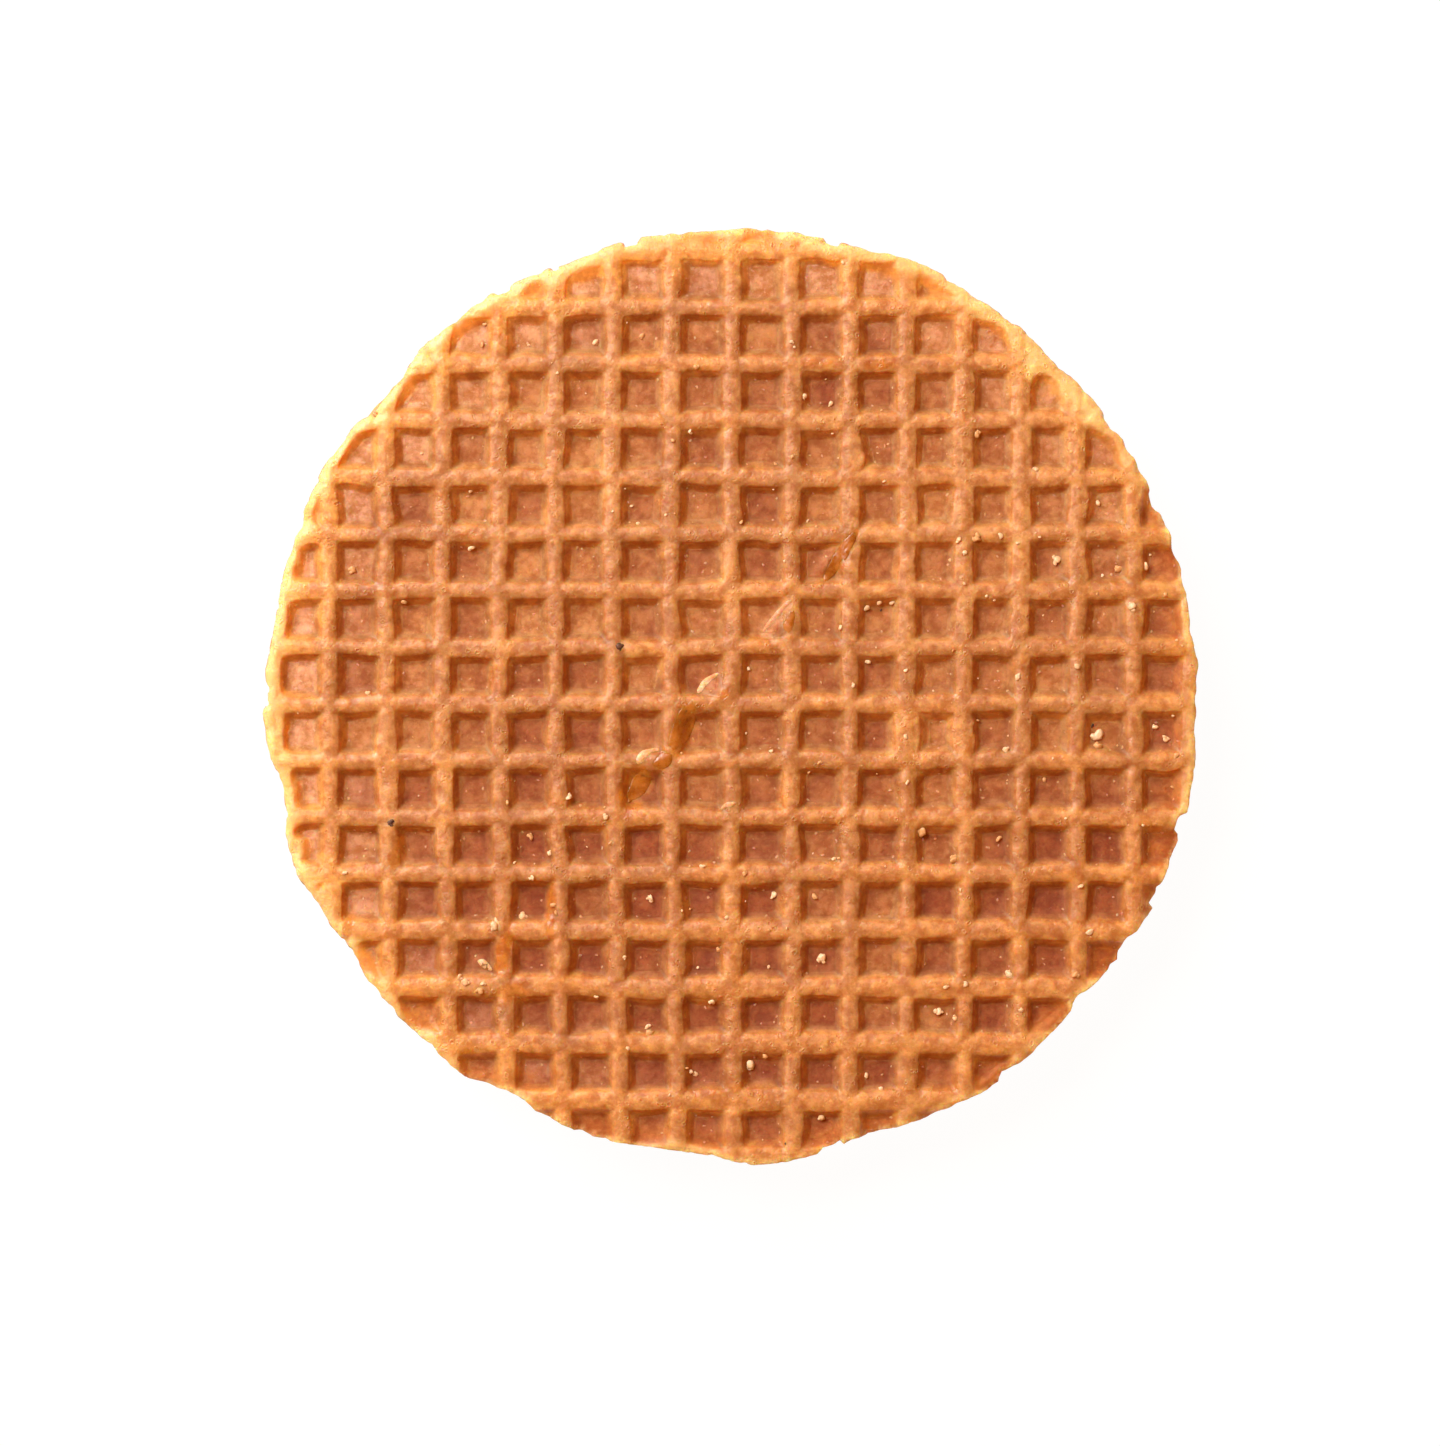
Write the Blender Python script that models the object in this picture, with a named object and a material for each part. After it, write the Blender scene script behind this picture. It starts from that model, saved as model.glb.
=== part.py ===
"""Stroopwafel: a round waffle split into two thin halves, with caramel syrup between them.

Row frame: metres, +Z up, with the origin under the middle of the waffle, on the surface it lies on.
Sizes below are in millimetres, and MM turns them into metres.

The halves are made as in the bakery: a square plate of waffle takes its pockets from the iron, a
round cutter stamps the disc out of it, and syrup fills the space between two such discs. Along one
diagonal the upper half is torn, and the syrup stands up in the tears.
"""
import math

import bmesh
import bpy
from mathutils import Vector

MM = 0.001

# Driving dimensions
DIAMETER = 85.0
HALF_THICKNESS = 2.9        # one waffle half, ridges included
SYRUP_THICKNESS = 1.8
LAYER_GAP = 0.3             # clearance between neighbouring solids
SYRUP_SETBACK = 0.7         # how far the syrup's rim stays inside the waffle's

# The iron's grid
PITCH = 5.2
RIDGE_WIDTH = 1.25          # across a ridge's top
WALL_RUN = 0.7              # how far a pocket's wall leans in from its mouth to its floor
POCKET_DEPTH = 1.1
CROWN = 0.15                # rise of a ridge from the mouth of its pockets to its middle line
MIDDLE_SPREAD = 0.55        # extra half spacing of the two widest columns, in the middle
SPREAD_REACH = 1.2          # how many pitches away that extra spacing fades
UPPER_GRID_SHIFT = (0.1, -0.7)   # where the ridges nearest the centre cross, on the upper half
LOWER_GRID_SHIFT = (1.6, 1.9)
GRID_LEAN = 0.6             # how far the ridges of the left half drift inwards ...
LEAN_FALL = 30.0            # ... at this distance below the middle
LEAN_START = -2.0           # where the left half's drift fades out, and over what width
LEAN_WIDTH = 4.0

# The cut outline: (direction in degrees, half width in degrees, how far it stands out)
OUTLINE_STEPS = 144
UPPER_RIM_FEATURES = (
    (139.0, 4.5, -0.85),
    (153.0, 5.0, 0.35),
    (182.0, 5.5, 0.50),
    (192.5, 3.2, -0.55),
    (201.0, 4.0, 0.70),
    (214.0, 4.0, -0.30),
    (234.0, 3.0, 0.25),
    (241.0, 3.5, -0.75),
    (262.0, 7.0, -0.30),
    (275.5, 6.5, 0.65),
    (286.5, 3.0, -0.40),
    (304.0, 7.0, 0.50),
    (319.5, 3.0, -0.30),
    (332.0, 8.0, 0.50),
    (347.0, 6.0, 0.30),
    (9.0, 3.5, -0.20),
    (45.0, 4.0, -0.20),
    (67.0, 4.5, 0.35),
    (110.0, 3.0, -0.50),
    (120.5, 4.0, 0.35),
)
LOWER_RIM_FEATURES = (
    (17.0, 6.0, 0.40),
    (75.0, 9.0, -0.40),
    (120.0, 8.0, 0.30),
    (172.0, 7.0, -0.45),
    (228.0, 6.0, 0.25),
    (256.0, 5.0, -0.35),
    (300.0, 9.0, -0.30),
    (340.0, 7.0, 0.25),
)
RIPPLE_HEIGHT = 0.10        # the crumbly edge's finer unevenness
RIPPLE_WAVES = (14, 23, 37)      # how many of its waves go round the edge
UPPER_RIPPLE_PHASE = 0.0
LOWER_RIPPLE_PHASE = 1.0
SYRUP_RIPPLE = 0.25         # how far the syrup's rim waves in and out
SYRUP_WAVES = ((5, 0.7, 1.0), (9, 2.1, 1.0), (16, 0.0, 0.6))   # waves round it, phase and share

# The tears: (x, y, length, width), each pointing along the diagonal crack
CRACK_DIRECTION = math.radians(50.0)
TEARS = (
    (10.4, 12.6, 5.8, 1.4),
    (4.2, 6.9, 5.6, 1.4),
    (-2.7, -1.6, 8.0, 1.8),
    (-7.8, -7.1, 5.6, 2.0),
)
TEAR_ARC_STEPS = 7
BEAD_GAP = 0.3              # clearance between a bead of syrup and the tear's sides
BEAD_END_GAP = 0.6          # the same at the tear's pointed ends
BEAD_RISE = 0.35            # how far a bead stands above the pocket's floor

CUTTER_MARGIN = 5.0         # how far cutters reach past what they cut
OVERLAP = 0.5               # how deep a bead starts in the layer, and a tear's cutter under its half

HEIGHT = 2 * HALF_THICKNESS + SYRUP_THICKNESS + 2 * LAYER_GAP
SYRUP_BASE = HALF_THICKNESS + LAYER_GAP
SYRUP_TOP = SYRUP_BASE + SYRUP_THICKNESS
UPPER_BASE = SYRUP_TOP + LAYER_GAP


# ---- outline ---------------------------------------------------------------------------------

def rim_feature(angle_deg, centre, half_width, height):
    """A flat-topped bump, or a notch where height is negative, in the radius around one direction."""
    away = ((angle_deg - centre + 180.0) % 360.0 - 180.0) / half_width
    return height * math.exp(-away ** 4)


def ripple(angle, phase):
    """Fine unevenness of a cut edge, from -1 to 1."""
    waves = [math.sin(count * angle + (k + 1) * phase) for k, count in enumerate(RIPPLE_WAVES)]
    return sum(waves) / len(waves)


def rim_point(angle, features, phase):
    """A point of a half's cut edge before it is centred, as (x, y)."""
    radius = DIAMETER / 2 + RIPPLE_HEIGHT * ripple(angle, phase)
    for centre, half_width, height in features:
        radius += rim_feature(math.degrees(angle), centre, half_width, height)
    return Vector((radius * math.cos(angle), radius * math.sin(angle)))


def raw_outline(features, phase):
    return [rim_point(2 * math.pi * k / OUTLINE_STEPS, features, phase) for k in range(OUTLINE_STEPS)]


def outline_middle():
    """The middle of the box around both halves, which the origin stands under."""
    points = raw_outline(UPPER_RIM_FEATURES, UPPER_RIPPLE_PHASE)
    points += raw_outline(LOWER_RIM_FEATURES, LOWER_RIPPLE_PHASE)
    xs = [p.x for p in points]
    ys = [p.y for p in points]
    return Vector(((min(xs) + max(xs)) / 2, (min(ys) + max(ys)) / 2))


def centred_outline(features, phase):
    middle = outline_middle()
    return [p - middle for p in raw_outline(features, phase)]


def syrup_outline():
    """The syrup's rim: set back from the waffle's, with lazy waves where it has crept."""
    radius = DIAMETER / 2 - SYRUP_SETBACK
    steps = OUTLINE_STEPS // 2
    whole = sum(share for _, _, share in SYRUP_WAVES)
    points = []
    for k in range(steps):
        angle = 2 * math.pi * k / steps
        wave = sum(share * math.sin(count * angle + phase) for count, phase, share in SYRUP_WAVES)
        reach = radius + SYRUP_RIPPLE * wave / whole
        points.append(Vector((reach * math.cos(angle), reach * math.sin(angle))))
    return points


def tear_outline(x, y, length, width):
    """A lens of two arcs, pointed at both ends, along the crack."""
    along = Vector((math.cos(CRACK_DIRECTION), math.sin(CRACK_DIRECTION)))
    across = Vector((-along.y, along.x))
    points = []
    for side in (1, -1):
        for k in range(TEAR_ARC_STEPS):
            t = -1 + 2 * k / TEAR_ARC_STEPS
            offset = along * (side * t * length / 2) - across * (side * (1 - t * t) * width / 2)
            points.append(Vector((x, y)) + offset)
    return points


# ---- solids ----------------------------------------------------------------------------------

def new_object(name, mesh_maker, material=None):
    """An object whose mesh a bmesh function fills, in millimetres turned into metres."""
    bm = bmesh.new()
    mesh_maker(bm)
    bmesh.ops.scale(bm, vec=(MM, MM, MM), verts=bm.verts)
    bmesh.ops.recalc_face_normals(bm, faces=bm.faces)
    mesh = bpy.data.meshes.new(name)
    bm.to_mesh(mesh)
    bm.free()
    if material:
        mesh.materials.append(material)
    obj = bpy.data.objects.new(name, mesh)
    bpy.context.scene.collection.objects.link(obj)
    return obj


def add_prism(bm, outline, low, high):
    """A straight prism over a closed outline, from height low to height high."""
    base = bm.faces.new([bm.verts.new((p.x, p.y, low)) for p in outline])
    raised = bmesh.ops.extrude_face_region(bm, geom=[base], use_keep_orig=True)
    top = [item for item in raised["geom"] if isinstance(item, bmesh.types.BMVert)]
    bmesh.ops.translate(bm, vec=(0, 0, high - low), verts=top)


def helper(name, outline, low, high):
    """A cutter or an addition for a Boolean, which isn't a part of the waffle."""
    obj = new_object(name, lambda bm: add_prism(bm, outline, low, high))
    obj.hide_render = True
    obj.display_type = "WIRE"
    return obj


def add_boolean(obj, operation, other):
    modifier = obj.modifiers.new(f"{operation.lower()}_{other.name}", "BOOLEAN")
    modifier.operation = operation
    modifier.solver = "EXACT"
    modifier.object = other


def grid_point(u, v, shift):
    """Where grid line number u meets grid line number v, on the plate."""
    x = PITCH * u + MIDDLE_SPREAD * math.tanh(u / SPREAD_REACH)
    y = PITCH * v
    left_half = (1 - math.tanh((x - LEAN_START) / LEAN_WIDTH)) / 2
    drift = GRID_LEAN * max(0.0, -y / LEAN_FALL) * left_half
    return Vector((x + drift + shift[0], y + shift[1]))


def add_plate(bm, face_z, back_z, crown, shift):
    """A square plate with pockets in the face at face_z and a flat back at back_z."""
    inward = math.copysign(1.0, back_z - face_z)
    mouth_z = face_z + inward * crown
    floor_z = face_z + inward * POCKET_DEPTH
    mouth = RIDGE_WIDTH / 2 / PITCH
    floor = mouth + WALL_RUN / PITCH
    reach = math.ceil((DIAMETER / 2 + CUTTER_MARGIN) / PITCH)
    made = {}

    def ring(i, j, inset, z):
        """The four corners of cell i, j, moved in from the ridges' middle lines by inset."""
        corners = []
        for du, dv in ((inset, inset), (1 - inset, inset), (1 - inset, 1 - inset), (inset, 1 - inset)):
            key = (round(i + du, 4), round(j + dv, 4))
            if key not in made:
                point = grid_point(i + du, j + dv, shift)
                made[key] = bm.verts.new((point.x, point.y, z))
            corners.append(made[key])
        return corners

    for i in range(-reach, reach):
        for j in range(-reach, reach):
            rings = [ring(i, j, 0.0, face_z), ring(i, j, mouth, mouth_z), ring(i, j, floor, floor_z)]
            for outer, inner in zip(rings, rings[1:]):
                for k in range(4):
                    n = (k + 1) % 4
                    bm.faces.new((outer[k], outer[n], inner[n], inner[k]))
            bm.faces.new(rings[-1])

    edge = [e for e in bm.edges if e.is_boundary]
    skirt = bmesh.ops.extrude_edge_only(bm, edges=edge)
    for item in skirt["geom"]:
        if isinstance(item, bmesh.types.BMVert):
            item.co.z = back_z
    bmesh.ops.holes_fill(bm, edges=[e for e in bm.edges if e.is_boundary], sides=0)


def make_half(name, outline, face_z, back_z, crown, shift, material):
    """One waffle half: the plate, stamped out by the round cutter."""
    half = new_object(name, lambda bm: add_plate(bm, face_z, back_z, crown, shift), material)
    low = min(face_z, back_z) - CUTTER_MARGIN
    high = max(face_z, back_z) + CUTTER_MARGIN
    add_boolean(half, "INTERSECT", helper(f"{name}_cutter", outline, low, high))
    return half


def make_syrup(material):
    """The layer of syrup, with a bead that stands up in each tear of the upper half."""
    syrup = new_object("syrup", lambda bm: add_prism(bm, syrup_outline(), SYRUP_BASE, SYRUP_TOP), material)
    bead_top = HEIGHT - POCKET_DEPTH + BEAD_RISE
    for number, (x, y, length, width) in enumerate(TEARS, start=1):
        shape = tear_outline(x, y, length - 2 * BEAD_END_GAP, width - 2 * BEAD_GAP)
        bead = helper(f"bead_{number}", shape, SYRUP_TOP - OVERLAP, bead_top)
        add_boolean(syrup, "UNION", bead)
    return syrup


# ---- materials -------------------------------------------------------------------------------

def make_material(name, colour, roughness):
    material = bpy.data.materials.new(name)
    material.use_nodes = True
    shader = material.node_tree.nodes["Principled BSDF"]
    shader.inputs["Base Color"].default_value = (*colour, 1.0)
    shader.inputs["Roughness"].default_value = roughness
    shader.inputs["Metallic"].default_value = 0.0
    return material


def main():
    for obj in list(bpy.data.objects):
        bpy.data.objects.remove(obj)

    waffle = make_material("waffle", (0.58, 0.27, 0.09), 0.6)
    caramel = make_material("caramel", (0.35, 0.12, 0.02), 0.25)

    lower_outline = centred_outline(LOWER_RIM_FEATURES, LOWER_RIPPLE_PHASE)
    make_half("wafer_bottom", lower_outline, 0.0, HALF_THICKNESS, 0.0, LOWER_GRID_SHIFT, waffle)
    make_syrup(caramel)
    upper_outline = centred_outline(UPPER_RIM_FEATURES, UPPER_RIPPLE_PHASE)
    upper = make_half("wafer_top", upper_outline, HEIGHT, UPPER_BASE, CROWN, UPPER_GRID_SHIFT, waffle)
    for number, tear in enumerate(TEARS, start=1):
        outline = tear_outline(*tear)
        cutter = helper(f"tear_{number}", outline, UPPER_BASE - OVERLAP, HEIGHT + CUTTER_MARGIN)
        add_boolean(upper, "DIFFERENCE", cutter)


main()
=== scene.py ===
"""Stroopwafel: the looks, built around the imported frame.

Lengths are in millimetres until a mesh is made, where MM turns them into metres. The waffle lies
flat, its pattern squared up to X and Y, and the middle of its box is the origin. Outlines and
levels are read from the frame's nodes, and the iron's grid repeats the part's own rule.
"""

import math

import bmesh
import bpy
import numpy as np
from mathutils import Matrix, Vector
from mathutils.geometry import delaunay_2d_cdt


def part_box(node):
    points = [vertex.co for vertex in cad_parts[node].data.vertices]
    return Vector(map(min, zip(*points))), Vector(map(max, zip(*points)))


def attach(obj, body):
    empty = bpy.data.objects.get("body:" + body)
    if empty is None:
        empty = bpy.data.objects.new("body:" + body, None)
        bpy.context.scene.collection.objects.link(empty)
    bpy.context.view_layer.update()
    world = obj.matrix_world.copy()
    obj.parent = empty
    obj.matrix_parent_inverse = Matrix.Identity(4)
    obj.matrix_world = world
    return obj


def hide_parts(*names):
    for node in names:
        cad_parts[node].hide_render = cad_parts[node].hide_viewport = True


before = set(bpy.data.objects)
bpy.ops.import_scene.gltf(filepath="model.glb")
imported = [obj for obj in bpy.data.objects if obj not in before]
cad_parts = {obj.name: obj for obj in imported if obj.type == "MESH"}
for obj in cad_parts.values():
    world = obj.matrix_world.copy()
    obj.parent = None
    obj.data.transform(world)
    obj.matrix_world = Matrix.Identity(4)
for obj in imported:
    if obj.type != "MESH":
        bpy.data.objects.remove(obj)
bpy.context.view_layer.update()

MM = 0.001

# ---- levels and the iron's grid ----

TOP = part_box("wafer_top")[1].z / MM  # crests of the upper half's ridges
UPPER_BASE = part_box("wafer_top")[0].z / MM
LOWER_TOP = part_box("wafer_bottom")[1].z / MM

PITCH = 5.2
MIDDLE_SPREAD = 0.55  # extra half spacing of the two widest columns
SPREAD_REACH = 1.2
UPPER_SHIFT = (0.1, -0.7)  # where the ridges nearest the centre cross
LOWER_SHIFT = (1.6, 1.9)
GRID_LEAN = 0.6  # how far the ridges drift inwards at the lower left
LEAN_START, LEAN_LENGTH = -2.0, 4.0
LEAN_FALL = 30.0

RIDGE_HALF = 0.50  # half a ridge's top
WALL_RUN = 1.14  # a pocket's wall, seen from above
POCKET_DEPTH = 1.12
CROWN = 0.10  # rise of a ridge from the mouth of its pockets to its middle line
CORNER_ROUNDING = 0.16  # how softly two walls of a pocket meet

WANDER = 0.13  # how far the ridges stray from straight lines
SKIN_SAG = 0.08  # how far the skin lies below the highest crests
BLISTER_ROUNDING = 0.28  # how softly a blister rises out of its pocket
EDGE_ALLOWANCE = 0.12  # how far the cut edge may reach out past its outline
EDGE_ROUGHNESS = 0.19
NICK_DEPTH = 0.45

# Distances from a ridge's middle line at which the mesh has lines, close together on the walls
LINES = (0.0, 0.27, 0.50, 0.68, 0.87, 1.06, 1.25, 1.45, 1.70, 2.08)

# ---- tears, blisters and syrup stains ----

# Tears in the upper half: (x, y, length, width, direction in degrees)
TEARS = (
    (10, 12.9, 3.8, 0.6, 55),
    (-4.3, -2.8, 3.6, 0.9, 70),
    (-8.3, -8, 2.2, 0.7, 62),
)
# Syrup that has welled up over the skin: (x, y, length, width, direction, rise)
POOLS = (
    (10.05, 12.95, 5.6, 1.15, 55, 0.08),
    (5.4, 6.9, 2.2, 1, 72, 0.04),
    (-4.35, -2.7, 5.2, 1.8, 68, 0.06),
    (-8.3, -8, 3.4, 1.7, 60, 0.03),
    (-6.25, -5.9, 1.9, 1.5, 30, 0.10),
)
# Skin that has swollen into a pocket: (x, y, length, width, direction, rise over the floor)
BLISTERS = (
    (9.2, 12.9, 5.2, 1.9, 55, 0.50),
    (5, 6.4, 6.2, 3.2, 52, 0.75),
    (-0.9, 0.2, 4.6, 3.6, 45, 0.95),
    (-6.7, -6, 4.6, 3, 20, 0.95),
    (-21.7, -21.2, 1.5, 1.1, 30, 0.45),
    (-22.7, -24.6, 2.4, 0.9, -45, 0.55),
)
# Syrup soaked into the skin: (x, y, length, width, direction, strength)
STAINS = (
    (-20.8, -23.2, 6, 1.7, 80, 0.9),
    (-16.5, -19.2, 5.4, 1.1, 88, 0.8),
    (-28.2, -28.8, 3.4, 2.6, 60, 0.9),
    (-24.3, -32.8, 1.8, 1.6, 0, 0.8),
    (-30.7, -14.2, 4.2, 1.2, 80, 0.7),
    (-35.1, -20.8, 4.6, 1, 80, 0.7),
    (-19.9, -27.2, 3.4, 2.6, 20, 0.6),
    (8.2, 30.6, 4.5, 1, 0, 0.55),
    (13.6, 30.4, 3.8, 1, 0, 0.75),
    (11.2, 14.8, 2.2, 1.2, 50, 0.9),
    (10, 12.9, 6.4, 2, 55, 0.7),
    (-0.6, 0.4, 1.6, 1.2, 40, 0.8),
    (-4.3, -2.9, 6.2, 2.9, 68, 0.8),
    (-6.3, -5.9, 2.4, 2.2, 30, 1),
    (-8.6, -8.4, 4.8, 3.4, 66, 0.9),
    (37, 27.5, 2.6, 2, 60, 0.5),
)
# Curled lips of torn skin: the start, middle and end of each, how thick it is and how pale, the paleness
# partly a painted glint
LIPS = (
    ((-3.05, 0.25), (-2.20, 1.30), (-1.00, 2.20), 0.80, 1),
    ((-8.70, -6.35), (-7.85, -5.35), (-6.40, -4.85), 0.85, 1),
    ((5.60, 8.90), (4.45, 7.60), (2.90, 5.80), 0.80, 0.35),
    ((-23.60, -23.70), (-22.80, -24.45), (-21.90, -25.20), 0.60, 0.9),
    ((-21.60, -20.10), (-21.45, -20.90), (-21.55, -21.80), 0.70, 0.8),
    ((-0.90, -10.40), (-0.30, -10.00), (0.60, -9.60), 0.60, 0.4),
)
# Paler pink skin beside the tears, a painted sheen of the raised skin: (x, y, length, width, direction,
# strength)
SHEEN_SPOTS = (
    (9.5, 13.2, 4.6, 1.1, 57, 0.8),
    (5.3, 8.4, 1.7, 1.2, 40, 0.8),
    (3.6, 6.5, 3.2, 1.5, 50, 0.5),
    (-1, 1, 2.4, 1.7, 45, 0.5),
    (-7, -5.4, 2.6, 1.4, 30, 0.5),
)
# Paler skin, whose ridges rose a little wider: (x, y, length, width, direction, strength if not 1)
PALE_PATCHES = (
    (-31.6, -8, 15, 2.4, 90, 0.75),
    (-26.6, -8.4, 14, 2.6, 90, 0.75),
    (-36.6, -18.4, 5, 2.2, 90, 0.5),
    (-18, 22, 22, 15, 35, 0.35),
    (-3, 30.5, 6, 2.4, 0),
    (29.5, 28.5, 7, 3, -45),
    (12.4, 21.6, 5, 1.6, 0),
    (17.5, -3.4, 11, 7.5, 0),
    (22, 19, 34, 30, 45, 0.45),
    (-23, -21.5, 2.6, 1.5, 20, 0.8),
    (-17.1, -20.9, 2.6, 2, 10, 0.8),
)


class Noise:
    """Smooth noise in space, from about -1 to 1, whose bumps measure about `size`."""

    CELLS = 48

    def __init__(self, seed):
        self.lattice = np.random.default_rng(seed).uniform(-1, 1, (self.CELLS,) * 3)

    def __call__(self, x, y, z=0.0, size=1.0, octaves=1):
        total, strength = 0.0, 0.0
        for octave in range(octaves):
            step = size / 2 ** octave
            weight = 0.55 ** octave
            total += weight * self.smooth(x / step + 17.3 * octave, y / step, z / step)
            strength += weight
        return total / strength

    def smooth(self, x, y, z):
        x, y, z = np.broadcast_arrays(x, y, z)
        low = [np.floor(c).astype(int) for c in (x, y, z)]
        part = [c - f for c, f in zip((x, y, z), low)]
        part = [p * p * p * (p * (p * 6 - 15) + 10) for p in part]
        value = np.zeros(x.shape)
        for corner in np.ndindex(2, 2, 2):
            weight = 1.0
            for p, side in zip(part, corner):
                weight = weight * (p if side else 1 - p)
            at = tuple((f + side) % self.CELLS for f, side in zip(low, corner))
            value += weight * self.lattice[at]
        return value * 1.4


def fade(value, start, end):
    """0 at start, 1 at end, smooth between."""
    t = unit((value - start) / (end - start))
    return t * t * (3 - 2 * t)


def bell(angle, centre, spread):
    """1 at a direction, in degrees, and fading away on both sides of it."""
    apart = (angle - centre + 180) % 360 - 180
    return np.exp(-(apart / spread) ** 2)


def unit(value):
    return np.clip(value, 0, 1)


def soft_min(a, b, rounding):
    h = unit(0.5 + (b - a) / (2 * rounding))
    return b + (a - b) * h - rounding * h * (1 - h)


def soft_max(a, b, rounding):
    return -soft_min(-a, -b, rounding)


def bearing(x, y):
    """The direction of a place from the middle, in degrees from +X."""
    return np.degrees(np.arctan2(y, x)) % 360


def in_spot(x, y, spot):
    """How far along and across a spot (x, y, length, width, direction) a place is: 1 on its rim."""
    angle = math.radians(spot[4])
    dx, dy = x - spot[0], y - spot[1]
    along = (dx * math.cos(angle) + dy * math.sin(angle)) / (spot[2] / 2)
    across = (dy * math.cos(angle) - dx * math.sin(angle)) / (spot[3] / 2)
    return along, across


def lens(x, y, spot):
    """Distance inside a lens-shaped spot, negative outside."""
    along, across = in_spot(x, y, spot)
    return (1 - along ** 2 - np.abs(across)) * spot[3] / 2


def oval(x, y, spot):
    """1 in the middle of an oval spot, 0 on its edge, negative outside."""
    along, across = in_spot(x, y, spot)
    return 1 - along ** 2 - across ** 2


# ---- outlines, from the frame ----

class Outline:
    """The cut edge of a CAD node, read at one of its flat faces, as a radius for each direction."""

    def __init__(self, node, level):
        points = np.array([v.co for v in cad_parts[node].data.vertices]) / MM
        points = points[np.abs(points[:, 2] - level) < 0.01]
        reach = np.hypot(points[:, 0], points[:, 1])
        rim = reach > 0.9 * reach.max()
        angle = np.arctan2(points[rim, 1], points[rim, 0])
        order = np.argsort(angle)
        self.angle, self.reach = angle[order], reach[rim][order]

    def radius(self, x, y):
        return np.interp(np.arctan2(y, x), self.angle, self.reach, period=2 * math.pi)

    def inside(self, x, y):
        """How far a point is in from the edge, negative outside."""
        return self.radius(x, y) - np.hypot(x, y)


# ---- one waffle half ----

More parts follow.
